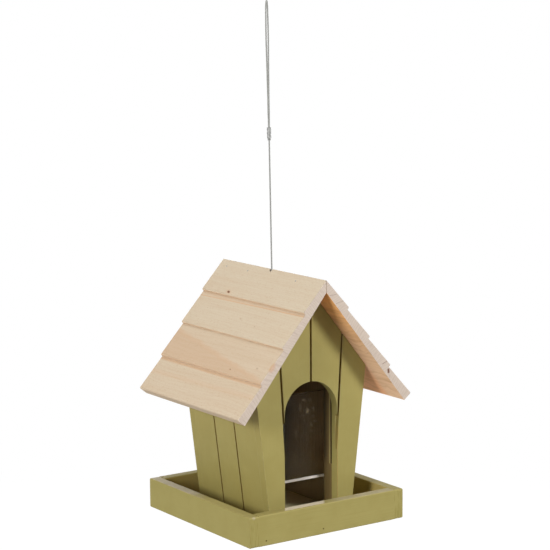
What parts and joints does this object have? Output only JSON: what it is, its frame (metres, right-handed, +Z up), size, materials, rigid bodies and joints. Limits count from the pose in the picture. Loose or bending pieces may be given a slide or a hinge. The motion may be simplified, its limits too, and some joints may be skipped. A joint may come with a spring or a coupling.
{
  "type": "hanging bird feeder",
  "caption": "Hanging wooden bird feeder: a small gabled house with arched openings and clear panes on a square tray, under a stepped board roof that lifts along its hanging wire.",
  "frame": {"origin": "middle of the tray's underside", "axes": "+Z up along the hanging wire, X across the gable walls, Y along the roof's ridge with the front at -Y"},
  "size_m": [0.1948, 0.175, 0.4895],
  "materials": {
    "olive_paint": "matt olive paint on smooth wood",
    "roof_pine": "bare planed pine",
    "inner_pine": "bare pine, seen in shade",
    "clear_acrylic": "clear sheet with fine scratches",
    "steel_wire": "fine twisted steel wire",
    "ferrule_metal": "dull pressed sleeve"
  },
  "bodies": {
    "house": {"tray_floor": "inner_pine", "tray_board_front": "olive_paint", "tray_board_back": "olive_paint", "tray_board_left": "olive_paint", "tray_board_right": "olive_paint", "gable_wall_front": "olive_paint", "gable_wall_back": "olive_paint", "side_wall_left": "olive_paint", "side_wall_right": "olive_paint", "cleat_front_left": "inner_pine", "cleat_front_right": "inner_pine", "cleat_back_left": "inner_pine", "cleat_back_right": "inner_pine", "pane_front": "clear_acrylic", "pane_back": "clear_acrylic", "hanger_bar": "inner_pine", "stop_ferrule": "ferrule_metal", "hanging_wire": "steel_wire", "crimp_ferrule": "ferrule_metal", "hanging_loop": "steel_wire"},
    "roof": {"roof_board_left_1": "roof_pine", "roof_board_left_2": "roof_pine", "roof_board_left_3": "roof_pine", "roof_board_left_4": "roof_pine", "roof_board_right_1": "roof_pine", "roof_board_right_2": "roof_pine", "roof_board_right_3": "roof_pine", "roof_board_right_4": "roof_pine", "roof_rib_front": "inner_pine", "roof_rib_back": "inner_pine"}
  },
  "joints": [
    {"name": "roof_lift", "type": "slide", "parent": "house", "child": "roof", "axis": [0, 0.0209, 0.9998], "range_m": [0, 0.12]}
  ]
}
